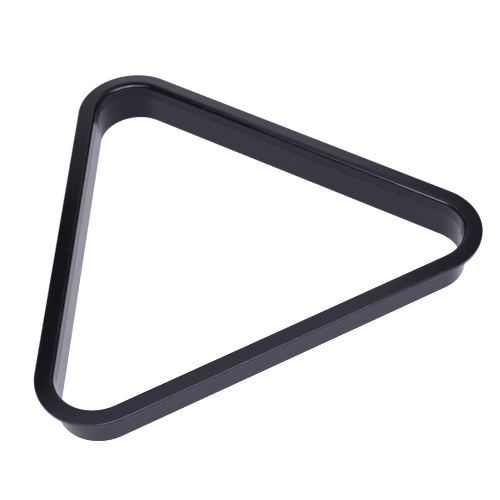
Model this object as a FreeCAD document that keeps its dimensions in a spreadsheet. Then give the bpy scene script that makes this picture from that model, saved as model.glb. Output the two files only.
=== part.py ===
"""Triangle rack for fifteen billiard balls: one moulded plastic frame.

The frame is an upright wall with a flange turned outward at its top, swept once around a rounded
equilateral triangle. Units are millimetres. Z is up and the foot of the wall stands on Z = 0. The
front rail runs along X and one corner, the apex, points along +Y. The origin is the middle of the
bounding box, at the foot.
"""

import FreeCAD, Part
import math
import os

import Sketcher

NODE = "rack_frame"

# Driving dimensions in mm. "Inner" faces the balls and "outer" faces away from them.
SIZES = {
    "ball_diameter": 57.15,    # standard pool ball
    "ball_rows": 5,            # 5 + 4 + 3 + 2 + 1 = 15 balls
    "ball_clearance": 1.43,    # slack between the packed balls and the foot of each rail
    "corner_radius": 26.9,     # inner corner at the foot
    "rack_height": 32.0,
    "foot_thickness": 2.6,     # the wall at its foot
    "outer_draft": 0.4,        # how far the outer face leans outward up to the flange
    "inner_draft": 0.4,        # how far the inner face leans inward up to the parting line
    "parting_height": 24.0,    # where the two halves of the mould met on the inner face
    "parting_step": 0.25,      # ledge that the upper half left there
    "upper_flare": 0.42,       # how far the inner face leans outward from there to the top
    "flange_reach": 12.5,      # from the inner foot out to the rim
    "flange_thickness": 3.0,
    "lip_radius": 2.0,         # inner top edge
    "root_radius": 1.0,        # under the flange, where it meets the wall
    "rim_radius": 0.5,         # both edges of the flange's rim
    "foot_radius": 0.5,        # both edges of the foot
}

# From the middle of the triangle square to the inner foot of a rail: the ball centres' own
# triangle, one ball radius and the clearance.
APOTHEM = ("((Sizes.ball_rows - 1) * Sizes.ball_diameter / (2 * sqrt(3))"
           " + Sizes.ball_diameter / 2 + Sizes.ball_clearance)")
# From the middle of the triangle to a corner arc's centre this is doubled.
CORE_APOTHEM = "(" + APOTHEM + " - Sizes.corner_radius)"

RAIL_DIRECTIONS = (120, 240)       # of the right and left rails, after the front rail along X
CORNER_DIRECTIONS = (-30, 90, 210)  # from the middle, in the path's order
HALF_CORNER = 60                   # each corner arc turns by twice this
START, END = 1, 2                  # a sketch edge's points
ORIGIN = (-1, 1)                   # a sketch's own origin point
X_AXIS, Y_AXIS = -1, -2
TOUCHING = 1e-4


def make_sheet(doc):
    """Put every driving dimension in a cell whose alias is the dimension's name."""
    sheet = doc.addObject("Spreadsheet::Sheet", "Sizes")
    for row, (name, value) in enumerate(SIZES.items(), start=1):
        sheet.set("A%d" % row, name)
        sheet.set("B%d" % row, str(value))
        sheet.setAlias("B%d" % row, name)
    doc.recompute()
    return sheet


def number(sheet, expression):
    """Value of an expression over the sheet's cells."""
    return float(sheet.evalExpression(expression))


def polar(length, degrees):
    """Vector of that length in the XY plane, turned from +X."""
    angle = math.radians(degrees)
    return FreeCAD.Vector(length * math.cos(angle), length * math.sin(angle), 0)


def new_sketch(body, name, role):
    """Empty sketch on one of the body's own origin planes."""
    sketch = body.newObject("Sketcher::SketchObject", name)
    plane = next(item for item in body.Origin.OriginFeatures if item.Role == role)
    sketch.AttachmentSupport = [(plane, "")]
    sketch.MapMode = "FlatFace"
    return sketch


def add_size(sketch, name, expression, *arguments):
    """Add a dimension to a sketch and bind it to the sheet."""
    index = sketch.addConstraint(Sketcher.Constraint(*arguments))
    sketch.renameConstraint(index, name)
    sketch.setExpression("Constraints." + name, expression)


def add_path(body, sheet):
    """Inner outline of the foot: a rounded triangle that starts in the middle of the front rail."""
    sketch = new_sketch(body, "foot_outline", "XY_Plane")
    apothem = number(sheet, APOTHEM)
    radius = number(sheet, "Sizes.corner_radius")
    middle = polar(apothem, -90)

    point = middle
    for direction in CORNER_DIRECTIONS:
        centre = polar(2 * (apothem - radius), direction)
        first, last = direction - HALF_CORNER, direction + HALF_CORNER
        sketch.addGeometry(Part.LineSegment(point, centre + polar(radius, first)))
        circle = Part.Circle(centre, FreeCAD.Vector(0, 0, 1), radius)
        sketch.addGeometry(Part.ArcOfCircle(circle, math.radians(first), math.radians(last)))
        point = centre + polar(radius, last)
    sketch.addGeometry(Part.LineSegment(point, middle))

    front_a, arc_a, right, arc_b, left, arc_c, front_b = range(7)
    for edge in range(front_b):
        sketch.addConstraint(Sketcher.Constraint("Tangent", edge, END, edge + 1, START))
    sketch.addConstraint(Sketcher.Constraint("Coincident", front_b, END, front_a, START))
    sketch.addConstraint(Sketcher.Constraint("PointOnObject", front_a, START, Y_AXIS))
    sketch.addConstraint(Sketcher.Constraint("Horizontal", front_a))
    sketch.addConstraint(Sketcher.Constraint("Horizontal", front_b))
    for rail, direction in zip((right, left), RAIL_DIRECTIONS):
        sketch.addConstraint(Sketcher.Constraint("Angle", rail, math.radians(direction)))
    sketch.addConstraint(Sketcher.Constraint("Equal", arc_a, arc_b))
    sketch.addConstraint(Sketcher.Constraint("Equal", arc_b, arc_c))
    add_size(sketch, "corner_radius", "Sizes.corner_radius", "Radius", arc_a, radius)
    for rail, name in ((front_a, "front"), (right, "right"), (left, "left")):
        add_size(sketch, name + "_apothem", APOTHEM, "Distance", *ORIGIN, rail, apothem)
    return sketch


def add_section(body, sheet):
    """Cross-section of the front rail, before its edges are rounded: an upside-down L."""
    sketch = new_sketch(body, "rail_section", "YZ_Plane")
    size = {name: number(sheet, "Sizes." + name) for name in SIZES}
    inner = number(sheet, APOTHEM)
    top = size["rack_height"]
    under = top - size["flange_thickness"]
    parting = size["parting_height"]
    land = size["parting_step"] - size["inner_draft"]
    outer = size["foot_thickness"]

    # Distance outward from the inner foot, and height.
    corners = {
        "inner_foot": (0, 0),
        "parting": (-size["inner_draft"], parting),
        "land": (land, parting),
        "lip": (land + size["upper_flare"], top),
        "rim_top": (size["flange_reach"], top),
        "rim_bottom": (size["flange_reach"], under),
        "root": (outer + size["outer_draft"], under),
        "outer_foot": (outer, 0),
    }
    points = [FreeCAD.Vector(-inner - out, up, 0) for out, up in corners.values()]
    for first, last in zip(points, points[1:] + points[:1]):
        sketch.addGeometry(Part.LineSegment(first, last))
    count = len(points)
    for edge in range(count):
        sketch.addConstraint(Sketcher.Constraint("Coincident", edge, END, (edge + 1) % count, START))

    # Each corner is the start of the edge that leaves it.
    at = {name: (index, START) for index, name in enumerate(corners)}
    for name in ("parting", "lip", "rim_bottom", "outer_foot"):
        sketch.addConstraint(Sketcher.Constraint("Horizontal", at[name][0]))
    sketch.addConstraint(Sketcher.Constraint("Vertical", at["rim_top"][0]))
    sketch.addConstraint(Sketcher.Constraint("PointOnObject", *at["inner_foot"], X_AXIS))
    add_size(sketch, "apothem", APOTHEM, "DistanceX", *at["inner_foot"], *ORIGIN, inner)
    for name, kind, first, last in (
        ("foot_thickness", "DistanceX", "outer_foot", "inner_foot"),
        ("outer_draft", "DistanceX", "root", "outer_foot"),
        ("inner_draft", "DistanceX", "inner_foot", "parting"),
        ("parting_height", "DistanceY", "inner_foot", "parting"),
        ("parting_step", "DistanceX", "land", "parting"),
        ("upper_flare", "DistanceX", "lip", "land"),
        ("rack_height", "DistanceY", "inner_foot", "rim_top"),
        ("flange_reach", "DistanceX", "rim_top", "inner_foot"),
        ("flange_thickness", "DistanceY", "rim_bottom", "rim_top"),
    ):
        add_size(sketch, name, "Sizes." + name, kind, *at[first], *at[last], size[name])
    return sketch, corners


def edge_through(shape, point):
    """Name of the edge that passes through a point."""
    vertex = Part.Vertex(point)
    for index, edge in enumerate(shape.Edges, start=1):
        if edge.distToShape(vertex)[0] < TOUCHING:
            return "Edge%d" % index
    raise RuntimeError("no edge passes through %s" % point)


def add_fillet(doc, body, base, name, radius, points):
    """Round the edges through the points; each fillet runs on around its whole tangent loop."""
    doc.recompute()
    fillet = body.newObject("PartDesign::Fillet", name)
    fillet.Base = (base, [edge_through(base.Shape, point) for point in points])
    fillet.setExpression("Radius", "Sizes." + radius)
    return fillet


def make_frame(doc, sheet):
    """The whole rack as one body."""
    body = doc.addObject("PartDesign::Body", NODE)
    body.Label = NODE
    path = add_path(body, sheet)
    section, corners = add_section(body, sheet)
    doc.recompute()

    sweep = body.newObject("PartDesign::AdditivePipe", "swept_rails")
    sweep.Profile = section
    sweep.Spine = (path, ["Edge%d" % (index + 1) for index in range(len(path.Geometry))])

    # A point on each sharp edge of the front rail, a little to the right of its middle.
    inner = number(sheet, APOTHEM)
    sharp = {name: FreeCAD.Vector(10, -inner - out, up) for name, (out, up) in corners.items()}
    last = sweep
    for name, radius, edges in (
        ("lip_round", "lip_radius", ("lip",)),
        ("root_round", "root_radius", ("root",)),
        ("rim_rounds", "rim_radius", ("rim_top", "rim_bottom")),
        ("foot_rounds", "foot_radius", ("inner_foot", "outer_foot")),
    ):
        last = add_fillet(doc, body, last, name, radius, [sharp[edge] for edge in edges])
    body.Tip = last

    # The apex reaches further from the middle of the triangle than the front rail does.
    body.setExpression("Placement.Base.y", "-" + CORE_APOTHEM + " / 2")
    doc.recompute()
    return body, sweep, section


def check(doc, body, sweep, section, sheet):
    """Stop unless every object computed, the solid is sound and the sweep has its full volume."""
    for item in doc.Objects:
        if "Invalid" in item.State or "Error" in item.State:
            raise RuntimeError("%s failed: %s" % (item.Name, item.State))
    shape = body.Shape
    if shape.isNull() or not shape.isValid() or len(shape.Solids) != 1:
        raise RuntimeError("%s is not one valid solid" % body.Label)

    # The section's area times the length of the loop that its centroid travels.
    face = Part.Face(section.Shape.Wires[0])
    outset = -face.CenterOfMass.y - number(sheet, CORE_APOTHEM)
    loop = 6 * math.sqrt(3) * number(sheet, CORE_APOTHEM) + 2 * math.pi * outset
    error = sweep.Shape.Volume / (face.Area * loop) - 1
    print("section %.2f mm2, loop %.2f mm, volume error %.1e" % (face.Area, loop, error))
    if abs(error) > TOUCHING:
        raise RuntimeError("the sweep's volume is wrong")


def main():
    doc = FreeCAD.newDocument("TriangleRack")
    sheet = make_sheet(doc)
    body, sweep, section = make_frame(doc, sheet)
    check(doc, body, sweep, section, sheet)
    os.makedirs("parts", exist_ok=True)
    body.Shape.exportStep("parts/%s.step" % NODE)
    box = body.Shape.optimalBoundingBox()
    print("%s: %.2f x %.2f x %.2f mm, %.2f cm3"
          % (NODE, box.XLength, box.YLength, box.ZLength, body.Shape.Volume / 1000))


main()
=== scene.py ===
import math

import bpy
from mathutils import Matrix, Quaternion, Vector


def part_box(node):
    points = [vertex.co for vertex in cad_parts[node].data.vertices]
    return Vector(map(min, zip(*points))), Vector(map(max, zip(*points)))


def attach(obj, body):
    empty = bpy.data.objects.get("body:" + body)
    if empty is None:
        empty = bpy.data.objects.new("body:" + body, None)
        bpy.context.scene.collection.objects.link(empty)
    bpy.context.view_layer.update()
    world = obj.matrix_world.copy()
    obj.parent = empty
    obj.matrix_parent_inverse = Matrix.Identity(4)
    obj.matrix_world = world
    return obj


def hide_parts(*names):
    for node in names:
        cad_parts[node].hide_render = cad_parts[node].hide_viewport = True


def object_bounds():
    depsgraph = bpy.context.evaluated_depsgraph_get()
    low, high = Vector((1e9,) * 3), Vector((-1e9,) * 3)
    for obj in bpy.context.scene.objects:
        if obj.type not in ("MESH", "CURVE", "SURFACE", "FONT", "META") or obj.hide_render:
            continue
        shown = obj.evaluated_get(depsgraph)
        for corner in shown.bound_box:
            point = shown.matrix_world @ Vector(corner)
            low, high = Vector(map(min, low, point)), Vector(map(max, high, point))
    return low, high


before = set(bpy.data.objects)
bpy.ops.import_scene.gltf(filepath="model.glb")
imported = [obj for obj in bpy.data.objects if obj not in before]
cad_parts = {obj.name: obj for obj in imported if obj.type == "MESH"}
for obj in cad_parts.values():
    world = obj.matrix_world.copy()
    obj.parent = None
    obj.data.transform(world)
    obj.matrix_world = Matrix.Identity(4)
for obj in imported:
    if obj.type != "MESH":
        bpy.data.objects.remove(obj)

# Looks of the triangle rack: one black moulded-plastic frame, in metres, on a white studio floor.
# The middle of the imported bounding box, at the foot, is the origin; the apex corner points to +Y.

NODE = "rack_frame"
CAD_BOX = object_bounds()

# Driving dimensions, the same as the CAD part's.
BALL_DIAMETER = 0.05715
BALL_ROWS = 5
BALL_CLEARANCE = 0.00143
CORNER_RADIUS = 0.0269       # inner corner at the foot
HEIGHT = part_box(NODE)[1].z
FOOT_THICKNESS = 0.0026
OUTER_DRAFT = 0.0004
INNER_DRAFT = 0.0004
PARTING_HEIGHT = 0.024
PARTING_STEP = 0.00025
UPPER_FLARE = 0.00042
FLANGE_REACH = 0.0125
FLANGE_THICKNESS = 0.003
LIP_RADIUS = 0.002           # inner top edge
ROOT_RADIUS = 0.001          # under the flange, where it meets the wall
RIM_RADIUS = 0.0005          # both edges of the flange's rim
FOOT_RADIUS = 0.0005         # both edges of the foot

APOTHEM = (BALL_ROWS - 1) * BALL_DIAMETER / (2 * math.sqrt(3)) + BALL_DIAMETER / 2 + BALL_CLEARANCE
CORE_APOTHEM = APOTHEM - CORNER_RADIUS      # of the triangle through the corner arcs' centres
CENTRE = Vector((0, -CORE_APOTHEM / 2, 0))  # middle of the triangle
CORNER_DIRECTIONS = [math.radians(angle) for angle in (-30, 90, 210)]    # from the middle
HALF_CORNER = math.radians(60)              # each corner arc turns by twice this


# ---------------------------------------------------------------------------------------------
# Mesh: the rounded section of a rail, swept once around the rounded triangle
# ---------------------------------------------------------------------------------------------

CORNER_STEPS = 56       # around each corner of the triangle
RAIL_STEP = 0.004       # along the rails
FLAT_STEP = 0.0012      # across the section's flat stretches
ROUND_STEP = math.radians(9)    # around the section's rounded edges
FEWEST_ROUND_STEPS = 3
WEAR_REACH = 0.0009     # how far handling marks fade away from a rounded outer edge
PARTING_BLEND = 0.001   # half the height over which the parting step is spread
PARTING_ROUND = 0.010   # radius of the step's two rounded edges
SAG_WIDTH = 0.0061      # from the inner foot: the flange rolls down towards the opening within this
SAG_CURVATURE = 17.5    # per metre
# Only the right rail and the apex sag. It starts, is full, is still full and ends at these headings.
SAG_HEADINGS = [math.radians(angle) for angle in (0, 30, 95, 150)]


def heading(angle):
    return Vector((math.cos(angle), math.sin(angle)))


def left_of(direction):
    return Vector((-direction.y, direction.x))


def section_corners():
    """(point, edge radius) of the section: x is outward from the inner foot, y is up."""
    land = PARTING_STEP - INNER_DRAFT
    under = HEIGHT - FLANGE_THICKNESS
    return [
        (Vector((0, 0)), FOOT_RADIUS),
        (Vector((-INNER_DRAFT, PARTING_HEIGHT - PARTING_BLEND)), PARTING_ROUND),
        (Vector((land, PARTING_HEIGHT + PARTING_BLEND)), PARTING_ROUND),
        (Vector((land + UPPER_FLARE, HEIGHT)), LIP_RADIUS),
        (Vector((FLANGE_REACH, HEIGHT)), RIM_RADIUS),
        (Vector((FLANGE_REACH, under)), RIM_RADIUS),
        (Vector((FOOT_THICKNESS + OUTER_DRAFT, under)), ROOT_RADIUS),
        (Vector((FOOT_THICKNESS, 0)), FOOT_RADIUS),
    ]


def rounded_section():
    """Points round the section, each (point, outward normal, is it on a rounded outer edge)."""
    corners = section_corners()
    rows = []
    for index, (corner, radius) in enumerate(corners):
        before = (corner - corners[index - 1][0]).normalized()
        following = corners[(index + 1) % len(corners)][0]
        after = (following - corner).normalized()
        turn = math.atan2(before.x * after.y - before.y * after.x, before.dot(after))
        side = math.copysign(1, turn)
        start = corner - before * radius * math.tan(abs(turn) / 2)
        centre = start + left_of(before) * side * radius
        base = math.atan2(before.y, before.x)
        if rows:
            rows += flat_rows(rows[-1], start)
        steps = max(FEWEST_ROUND_STEPS, math.ceil(abs(turn) / ROUND_STEP))
        for step in range(steps + 1):
            normal = left_of(heading(base + turn * step / steps))
            rows.append((centre - normal * side * radius, normal, turn < 0))
    rows += flat_rows(rows[-1], rows[0][0])
    return rows


def flat_rows(last, end):
    """Rows between the last one and the start of the next rounded edge."""
    start, normal, _ = last
    count = max(1, math.ceil((end - start).length / FLAT_STEP))
    return [(start.lerp(end, step / count), normal, False) for step in range(1, count)]


def outline():
    """Stations round the triangle, each (corner arc centre or rail point on the core, outward)."""
    stations = []
    for direction in CORNER_DIRECTIONS:
        corner = heading(direction) * 2 * CORE_APOTHEM
        following = heading(direction + 2 * HALF_CORNER) * 2 * CORE_APOTHEM
        for step in range(CORNER_STEPS):
            angle = direction - HALF_CORNER + 2 * HALF_CORNER * step / CORNER_STEPS
            stations.append((corner, heading(angle)))
        outward = heading(direction + HALF_CORNER)
        count = math.ceil((following - corner).length / RAIL_STEP)
        stations += [(corner.lerp(following, step / count), outward) for step in range(count)]
    return stations


def running_length(points):
    """Distance travelled up to each point, and round the whole closed loop."""
    lengths = [0.0]
    for first, last in zip(points, points[1:] + points[:1]):
        lengths.append(lengths[-1] + (last - first).length)
    return lengths[:-1], lengths[-1]


def smooth(start, end, position):
    """0 at the start and 1 at the end, levelling off at both."""
    share = min(1, max(0, (position - start) / (end - start)))
    return share * share * (3 - 2 * share)


def sag(point, outward):
    """(drop, inward tilt) of the flange where its inner side rolls down a little."""
    turn = math.atan2(outward.y, outward.x)
    starts, full, still_full, ends = SAG_HEADINGS
    share = smooth(starts, full, turn) * smooth(ends, still_full, turn)
    share *= smooth(HEIGHT - LIP_RADIUS, HEIGHT, point.y)
    reach = max(0, SAG_WIDTH - point.x)
    return share * SAG_CURVATURE * reach * reach / 2, share * SAG_CURVATURE * reach


def make_frame():
    """The rack as a closed mesh with exact normals and the attributes that its material reads."""
    rows = rounded_section()
    stations = outline()
    middle = [core + outward * (CORNER_RADIUS + FLANGE_REACH / 2) for core, outward in stations]
    travelled, around = running_length(middle)
    climbed, _ = running_length([row[0] for row in rows])
    edges = [length for length, row in zip(climbed, rows) if row[2]]

    vertices, normals, lays, wears, polishes = [], [], [], [], []
    for (core, outward), length in zip(stations, travelled):
        turn = 2 * math.pi * length / around
        ring = heading(turn) * around / (2 * math.pi)
        for (point, normal, _), climb in zip(rows, climbed):
            flat = core + outward * (CORNER_RADIUS + point.x)
            drop, tilt = sag(point, outward)
            leaning = (normal - Vector((tilt, 0))).normalized()
            vertices.append((CENTRE.x + flat.x, CENTRE.y + flat.y, point.y - drop))
            normals.append((outward.x * leaning.x, outward.y * leaning.x, leaning.y))
            lays.append((ring.x, ring.y, climb))
            wears.append(math.exp(-min(abs(climb - edge) for edge in edges) / WEAR_REACH))
            polishes.append(smooth(HEIGHT - FLANGE_THICKNESS, HEIGHT - LIP_RADIUS, point.y))

    width = len(rows)
    total = len(vertices)
    faces = []
    for column in range(len(stations)):
        for row in range(width):
            a, b = column * width + row, column * width + (row + 1) % width
            faces.append((a, b, (b + width) % total, (a + width) % total))

    mesh = bpy.data.meshes.new("rack")
    mesh.from_pydata(vertices, [], faces)
    lay = mesh.attributes.new("lay", "FLOAT_VECTOR", "POINT")
    lay.data.foreach_set("vector", [part for vector in lays for part in vector])
    for name, amounts in (("wear", wears), ("polish", polishes)):
        layer = mesh.attributes.new(name, "FLOAT", "POINT")
        layer.data.foreach_set("value", amounts)
    mesh.shade_smooth()
    mesh.normals_split_custom_set_from_vertices(normals)
    mesh.update()
    rack = bpy.data.objects.new("rack", mesh)
    bpy.context.scene.collection.objects.link(rack)
    return rack


# ---------------------------------------------------------------------------------------------
# Material
# ---------------------------------------------------------------------------------------------

DARKEST_BLACK = (0.0013, 0.0013, 0.0017)
LIGHTEST_BLACK = (0.0023, 0.0022, 0.0028)
RUBBED_GREY = (0.034, 0.034, 0.042)
RUBBED_SHARE = 0.14                 # of that grey, where an edge is rubbed most

WALL_ROUGHNESS = 0.235
FLANGE_ROUGHNESS = 0.075
STREAK_ROUGHNESS = (-0.010, 0.020)  # added between the streaks and on them
SPECK_ROUGHNESS = 0.03
HAIRLINE_ROUGHNESS = 0.12
RUBBED_ROUGHNESS = 0.03
PLASTIC_IOR = 1.40
COOL_TINT = (0.78, 0.77, 1.0)       # of the reflections seen face on

BUMP_DISTANCE = 0.00006
BUMP_STRENGTH = 0.35
WAVE_HEIGHT = 0.12                  # the heights are shares of the bump distance
WALL_GRAIN_HEIGHT = 0.06
FLANGE_GRAIN_HEIGHT = 0.006
HAIRLINE_DEPTH = 0.03

# Noise patterns: scales around the rack and across its section, overall scale per metre, detail.
CLOUDS = (1, 1, 55, 4)
RUB_MARKS = (0.35, 1, 900, 3)
STREAKS = (0.10, 1, 420, 3)
SPECKS = (1, 1, 1300, 2)
WAVES = (0.5, 1, 90, 2)
GRAIN = (1, 1, 2200, 2)
LONG_SCRATCHES = (0.02, 1, 2600, 1)
CROSS_SCRATCHES = (1, 0.05, 1500, 1)
SCRATCHED_PATCHES = (1, 1, 38, 2)

# Noise values between which a mark fades in.
RUB_MARKS_SHOW = (0.48, 0.66)
STREAKS_SHOW = (0.35, 0.75)
SPECKS_SHOW = (0.55, 0.80)
LONG_SCRATCHES_SHOW = (0.70, 0.78)
CROSS_SCRATCHES_SHOW = (0.74, 0.82)
SCRATCHED_PATCHES_SHOW = (0.50, 0.66)


def new_material(name):
    material = bpy.data.materials.new(name)
    material.use_nodes = True
    return material, material.node_tree, material.node_tree.nodes["Principled BSDF"]


def black_plastic():
    """Injection-moulded plastic: polished flange, finely grained walls, marks of handling."""
    material, tree, shader = new_material("black_plastic")
    lay = attribute(tree, "lay", "Vector")
    wear = attribute(tree, "wear", "Fac")
    polish = attribute(tree, "polish", "Fac")

    # Colour: a slightly uneven near-black, greyer where the rounded edges are rubbed.
    rubbed = multiply(tree, wear, map_range(tree, noise(tree, lay, *RUB_MARKS), RUB_MARKS_SHOW))
    black = mix_colour(tree, noise(tree, lay, *CLOUDS), DARKEST_BLACK, LIGHTEST_BLACK)
    colour = mix_colour(tree, scaled(tree, rubbed, RUBBED_SHARE), black, RUBBED_GREY)
    tree.links.new(colour, shader.inputs["Base Color"])

    # Gloss: wiped streaks that run with the rail, dull specks and hairline scratches.
    hairs = hairlines(tree, lay)
    gloss = map_range(tree, polish, (0, 1), (WALL_ROUGHNESS, FLANGE_ROUGHNESS))
    for marks in (
        map_range(tree, noise(tree, lay, *STREAKS), STREAKS_SHOW, STREAK_ROUGHNESS),
        map_range(tree, noise(tree, lay, *SPECKS), SPECKS_SHOW, (0, SPECK_ROUGHNESS)),
        scaled(tree, hairs, HAIRLINE_ROUGHNESS),
        scaled(tree, rubbed, RUBBED_ROUGHNESS),
    ):
        gloss = add(tree, gloss, marks)
    tree.links.new(gloss, shader.inputs["Roughness"])
    shader.inputs["IOR"].default_value = PLASTIC_IOR
    shader.inputs["Specular Tint"].default_value = (*COOL_TINT, 1)

    # Relief: slow moulding waves, fine grain on the walls and the scratches' grooves.
    grain_height = map_range(tree, polish, (0, 1), (WALL_GRAIN_HEIGHT, FLANGE_GRAIN_HEIGHT))
    relief = scaled(tree, noise(tree, lay, *WAVES), WAVE_HEIGHT)
    relief = add(tree, relief, multiply(tree, noise(tree, lay, *GRAIN), grain_height))
    relief = add(tree, relief, scaled(tree, hairs, -HAIRLINE_DEPTH))
    bump = tree.nodes.new("ShaderNodeBump")
    bump.inputs["Strength"].default_value = BUMP_STRENGTH
    bump.inputs["Distance"].default_value = BUMP_DISTANCE
    tree.links.new(relief, bump.inputs["Height"])
    tree.links.new(bump.outputs["Normal"], shader.inputs["Normal"])
    return material


def hairlines(tree, lay):
    """Sparse hairline scratches, most of them along the rails and a few across."""
    along = map_range(tree, noise(tree, lay, *LONG_SCRATCHES), LONG_SCRATCHES_SHOW)
    across = map_range(tree, noise(tree, lay, *CROSS_SCRATCHES), CROSS_SCRATCHES_SHOW)
    patches = map_range(tree, noise(tree, lay, *SCRATCHED_PATCHES), SCRATCHED_PATCHES_SHOW)
    return multiply(tree, add(tree, along, across), patches)


def attribute(tree, name, output):
    node = tree.nodes.new("ShaderNodeAttribute")
    node.attribute_name = name
    return node.outputs[output]


def noise(tree, lay, around, across, scale, detail):
    """Noise over the surface's own coordinates, scaled around the rack and across its section."""
    mapping = tree.nodes.new("ShaderNodeMapping")
    mapping.inputs["Scale"].default_value = (around, around, across)
    tree.links.new(lay, mapping.inputs["Vector"])
    node = tree.nodes.new("ShaderNodeTexNoise")
    node.inputs["Scale"].default_value = scale
    node.inputs["Detail"].default_value = detail
    tree.links.new(mapping.outputs["Vector"], node.inputs["Vector"])
    return node.outputs["Fac"]


def math_node(tree, operation, first, second):
    node = tree.nodes.new("ShaderNodeMath")
    node.operation = operation
    tree.links.new(first, node.inputs[0])
    tree.links.new(second, node.inputs[1])
    return node.outputs[0]


def add(tree, first, second):
    return math_node(tree, "ADD", first, second)


def multiply(tree, first, second):
    return math_node(tree, "MULTIPLY", first, second)


def scaled(tree, source, factor):
    """Another node's output times a plain number."""
    node = tree.nodes.new("ShaderNodeMath")
    node.operation = "MULTIPLY"
    tree.links.new(source, node.inputs[0])
    node.inputs[1].default_value = factor
    return node.outputs[0]


def map_range(tree, source, before, after=(0, 1)):
    """Carry one range of numbers to another, levelling off at both ends."""
    node = tree.nodes.new("ShaderNodeMapRange")
    node.interpolation_type = "SMOOTHSTEP"
    for name, number in zip(("From Min", "From Max", "To Min", "To Max"), (*before, *after)):
        node.inputs[name].default_value = number
    tree.links.new(source, node.inputs["Value"])
    return node.outputs["Result"]


def between(tree, source, fade_in, fade_out):
    """1 between the two ranges, fading to 0 through each of them."""
    return multiply(tree, map_range(tree, source, fade_in), map_range(tree, source, fade_out, (1, 0)))


def mix_colour(tree, factor, low, high):
    """Mix of two colours, each an RGB triple or another node's output."""
    node = tree.nodes.new("ShaderNodeMix")
    node.data_type = "RGBA"
    tree.links.new(factor, node.inputs["Factor"])
    sockets = [socket for socket in node.inputs if socket.type == "RGBA"]
    for socket, colour in zip(sockets, (low, high)):
        if isinstance(colour, tuple):
            socket.default_value = (*colour, 1)
        else:
            tree.links.new(colour, socket)
    return next(socket for socket in node.outputs if socket.type == "RGBA")


# ---------------------------------------------------------------------------------------------
# Floor, lights and camera
# ---------------------------------------------------------------------------------------------

CAMERA_AZIMUTH = math.radians(-24.34)   # 0 looks along +Y
CAMERA_ELEVATION = math.radians(48.13)
CAMERA_ROLL = math.radians(-4.77)
CAMERA_DISTANCE = 0.9977
CAMERA_LENS = 103.4                     # mm
CAMERA_SENSOR = 36
CAMERA_AIM = CENTRE + Vector((0.0224, -0.0011, 0))

FRONT_EDGE = CAD_BOX[0].y       # of the flange

DISPLAY_GAMMA = 0.87
STUDIO_WHITE = (1.0, 1.0, 1.08)
WORLD_STRENGTH = 0.185
FLOOR_REACH = 3
FLOOR_COLOUR = (0.15, 0.15, 0.15)
# The floor's glow is painted light: it fills in the rack's shadows, is bluish beside the rack and is
# stronger far away.
FLOOR_GLOW_COLOUR = (1.0, 1.0, 1.20)    # beside the rack
FLOOR_FAR_COLOUR = (1.0, 1.0, 1.0)
FLOOR_FAR = (0.28, 0.55)                # distances over which the floor turns plain white
FLOOR_GLOW = 0.73
FLOOR_FAR_GLOW = 0.25                   # added far away, where the lamps reach less
# Painted pool of light on the floor by the front rail.
FLOOR_FRONT_GLOW = 1.38                 # in a patch by the front rail, instead of FLOOR_GLOW
# Y where that patch fades in, Y where it fades out, and how far to each side it fades out.
FRONT_GLOW_IN = (FRONT_EDGE - 0.027, FRONT_EDGE - 0.012)
FRONT_GLOW_OUT = (FRONT_EDGE, FRONT_EDGE + 0.09)
FRONT_GLOW_SIDE = (0.17, 0.30)
BACKDROP_AZIMUTH = math.radians(154)
BACKDROP_ELEVATION = math.radians(48)
BACKDROP_DISTANCE = 2.0
UPPER_CARD_GLOW = (1.58, 1.57, 1.80)
LOWER_CARD_GLOW = (2.88, 2.85, 2.92)
MIDDLE_CARD_GLOW = (1.02, 1.01, 1.16)
SIDE_CARD_GLOW = (0.79, 0.78, 0.77)


def direction_to(azimuth, elevation):
    """Unit vector from the rack towards something that azimuth and elevation point at."""
    flat = math.cos(elevation)
    return Vector((math.sin(azimuth) * flat, -math.cos(azimuth) * flat, math.sin(elevation)))


def add_camera():
    data = bpy.data.cameras.new("camera")
    data.lens = CAMERA_LENS
    data.sensor_width = CAMERA_SENSOR
    camera = bpy.data.objects.new("camera", data)
    back = direction_to(CAMERA_AZIMUTH, CAMERA_ELEVATION)
    camera.rotation_mode = "QUATERNION"
    camera.rotation_quaternion = Quaternion(back, CAMERA_ROLL) @ back.to_track_quat("Z", "Y")
    camera.location = CAMERA_AIM + back * CAMERA_DISTANCE
    bpy.context.scene.collection.objects.link(camera)
    bpy.context.scene.camera = camera


def add_softbox(name, azimuth, elevation, distance, width, height, radiance):
    """Rectangular light that faces the middle of the rack; the angles are in degrees."""
    data = bpy.data.lights.new(name, "AREA")
    data.shape = "RECTANGLE"
    data.size = width
    data.size_y = height
    data.color = STUDIO_WHITE
    data.energy = radiance * math.pi * width * height
    light = bpy.data.objects.new(name, data)
    towards = direction_to(math.radians(azimuth), math.radians(elevation))
    light.rotation_mode = "QUATERNION"
    light.rotation_quaternion = towards.to_track_quat("Z", "Y")
    light.location = CENTRE + towards * distance
    light.visible_camera = False
    bpy.context.scene.collection.objects.link(light)


def card(left, right, base, slope, height):
    """Corners of an upright parallelogram whose lower edge is at base where right is zero."""
    return [(left, base + slope * left), (right, base + slope * right),
            (right, base + slope * right + height), (left, base + slope * left + height)]


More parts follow.
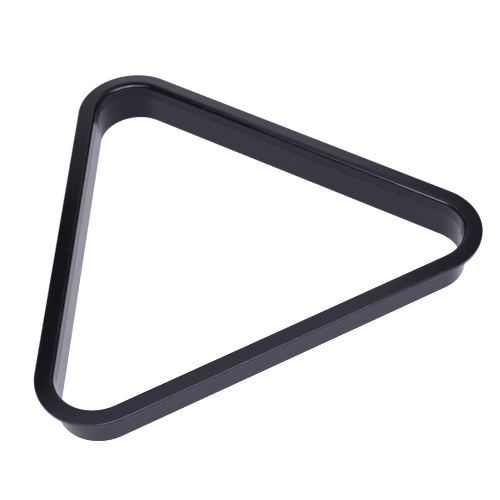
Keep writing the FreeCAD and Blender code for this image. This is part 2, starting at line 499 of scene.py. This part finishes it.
def add_backdrop(name, behind, corners, glow, fades):
    """Glowing scrim behind the rack, facing it, whose edges fade out; light passes through it.

    behind sets it back from the nearest scrim, corners are its (right, up) places in its plane,
    anticlockwise from the lower left, and fades are the shares of its width or height over which
    its left, right, lower and upper edges fade.
    """
    towards = direction_to(BACKDROP_AZIMUTH, BACKDROP_ELEVATION)
    mesh = bpy.data.meshes.new(name)
    mesh.from_pydata([(right, up, 0) for right, up in corners], [], [(0, 1, 2, 3)])
    uv_layer = mesh.uv_layers.new(name="card")
    uv_layer.data.foreach_set("uv", (0, 0, 1, 0, 1, 1, 0, 1))
    scrim = bpy.data.objects.new(name, mesh)
    scrim.rotation_mode = "QUATERNION"
    scrim.rotation_quaternion = (-towards).to_track_quat("Z", "Y")
    scrim.location = CENTRE + towards * (BACKDROP_DISTANCE + behind)
    scrim.visible_camera = False
    bpy.context.scene.collection.objects.link(scrim)

    material = bpy.data.materials.new(name)
    material.use_nodes = True
    tree = material.node_tree
    tree.nodes.clear()
    place = tree.nodes.new("ShaderNodeTexCoord")
    split = tree.nodes.new("ShaderNodeSeparateXYZ")
    tree.links.new(place.outputs["UV"], split.inputs[0])
    left, right, lower, upper = fades
    across = between(tree, split.outputs["X"], (0, left), (1 - right, 1))
    along = between(tree, split.outputs["Y"], (0, lower), (1 - upper, 1))
    emission = tree.nodes.new("ShaderNodeEmission")
    emission.inputs["Color"].default_value = (*glow, 1)
    tree.links.new(multiply(tree, across, along), emission.inputs["Strength"])
    both = tree.nodes.new("ShaderNodeAddShader")
    tree.links.new(emission.outputs[0], both.inputs[0])
    tree.links.new(tree.nodes.new("ShaderNodeBsdfTransparent").outputs[0], both.inputs[1])
    output = tree.nodes.new("ShaderNodeOutputMaterial")
    tree.links.new(both.outputs[0], output.inputs["Surface"])
    mesh.materials.append(material)


def add_world():
    world = bpy.data.worlds.new("studio")
    world.use_nodes = True
    background = world.node_tree.nodes["Background"]
    background.inputs["Color"].default_value = (*STUDIO_WHITE, 1)
    background.inputs["Strength"].default_value = WORLD_STRENGTH
    bpy.context.scene.world = world


def add_floor():
    """White table with a painted glow, as if lit a little from below, so that no hard shadow falls on
    it; the glow is bluish beside the rack and stronger far away and in a patch by the front rail.
    """
    mesh = bpy.data.meshes.new("floor")
    corners = [(x * FLOOR_REACH, y * FLOOR_REACH, 0) for x, y in ((-1, -1), (1, -1), (1, 1), (-1, 1))]
    mesh.from_pydata(corners, [], [(0, 1, 2, 3)])
    floor = bpy.data.objects.new("floor", mesh)
    bpy.context.scene.collection.objects.link(floor)
    material, tree, shader = new_material("floor")
    shader.inputs["Base Color"].default_value = (*FLOOR_COLOUR, 1)
    shader.inputs["Roughness"].default_value = 1
    shader.inputs["Specular IOR Level"].default_value = 0
    place = tree.nodes.new("ShaderNodeTexCoord")
    split = tree.nodes.new("ShaderNodeSeparateXYZ")
    tree.links.new(place.outputs["Object"], split.inputs[0])
    # Painted light: an even glow, a brighter pool by the front rail and more glow far away.
    full, gone = FRONT_GLOW_SIDE
    along = between(tree, split.outputs["Y"], FRONT_GLOW_IN, FRONT_GLOW_OUT)
    across = between(tree, split.outputs["X"], (-gone, -full), (full, gone))
    glow = map_range(tree, multiply(tree, along, across), (0, 1), (FLOOR_GLOW, FLOOR_FRONT_GLOW))
    length = tree.nodes.new("ShaderNodeVectorMath")
    length.operation = "LENGTH"
    tree.links.new(place.outputs["Object"], length.inputs[0])
    far = map_range(tree, length.outputs["Value"], FLOOR_FAR)
    glow = add(tree, glow, scaled(tree, far, FLOOR_FAR_GLOW))
    tree.links.new(glow, shader.inputs["Emission Strength"])
    tree.links.new(mix_colour(tree, far, FLOOR_GLOW_COLOUR, FLOOR_FAR_COLOUR),
                   shader.inputs["Emission Color"])
    mesh.materials.append(material)


def add_studio():
    add_floor()
    add_world()
    add_camera()
    add_softbox("overhead_softbox", azimuth=-19, elevation=66, distance=0.9,
                width=1.2, height=1.1, radiance=7.5)
    add_softbox("front_softbox", azimuth=-10, elevation=45, distance=0.6,
                width=0.4, height=0.3, radiance=10.0)
    add_softbox("lip_softbox", azimuth=-66, elevation=77, distance=0.43,
                width=0.10, height=0.10, radiance=20.0)
    add_softbox("rim_softbox", azimuth=20, elevation=38, distance=0.6,
                width=0.18, height=0.18, radiance=14.0)
    add_backdrop("upper_card", 0, card(left=-0.59, right=0.50, base=0.10, slope=-0.384, height=0.50),
                 UPPER_CARD_GLOW, fades=(0.03, 0.32, 0.24, 0.10))
    add_backdrop("lower_card", 0.01, card(left=-0.40, right=0.60, base=-0.529, slope=0.43, height=0.50),
                 LOWER_CARD_GLOW, fades=(0.16, 0.66, 0.10, 0.40))
    add_backdrop("middle_card", 0.02, card(left=-0.30, right=0.37, base=-0.20, slope=0, height=0.38),
                 MIDDLE_CARD_GLOW, fades=(0.40, 0.40, 0.32, 0.40))
    add_backdrop("side_card", 0.03, card(left=-0.50, right=-0.30, base=-0.36, slope=0, height=0.33),
                 SIDE_CARD_GLOW, fades=(0.50, 0.25, 0.10, 0.60))
    view = bpy.context.scene.view_settings
    view.view_transform = "Standard"
    view.look = "None"
    view.gamma = DISPLAY_GAMMA


rack = make_frame()
rack.data.materials.append(black_plastic())
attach(rack, "root")
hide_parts(NODE)
add_studio()
